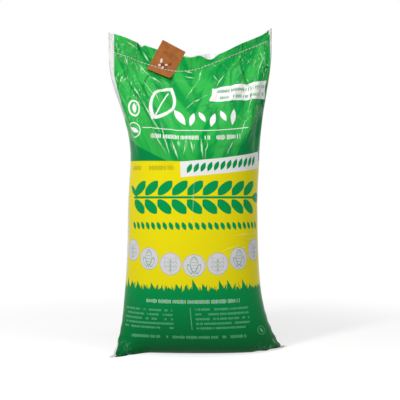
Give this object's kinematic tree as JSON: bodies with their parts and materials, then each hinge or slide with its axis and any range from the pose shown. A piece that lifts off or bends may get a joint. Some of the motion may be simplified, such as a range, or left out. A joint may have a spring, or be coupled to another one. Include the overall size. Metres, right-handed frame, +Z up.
{
  "type": "chicken feed bag",
  "caption": "Filled plastic film feed sack standing on its base, sewn shut across the top by a chain of stitches that also holds a card tag.",
  "frame": {"origin": "on the floor, under the middle of the sack's outline", "axes": "+Z up the sack, +Y from the printed front to the back, +X to the right seen from the front"},
  "size_m": [0.4944, 0.2812, 0.8875],
  "materials": {
    "sack_film": "glossy printed polyethylene film, green with a yellow field",
    "thread": "spun thread, off white",
    "tag_card": "matt brown kraft card"
  },
  "bodies": {
    "root": {"sack": "sack_film", "closing_thread": "thread", "card_tag": "tag_card"}
  },
  "joints": []
}
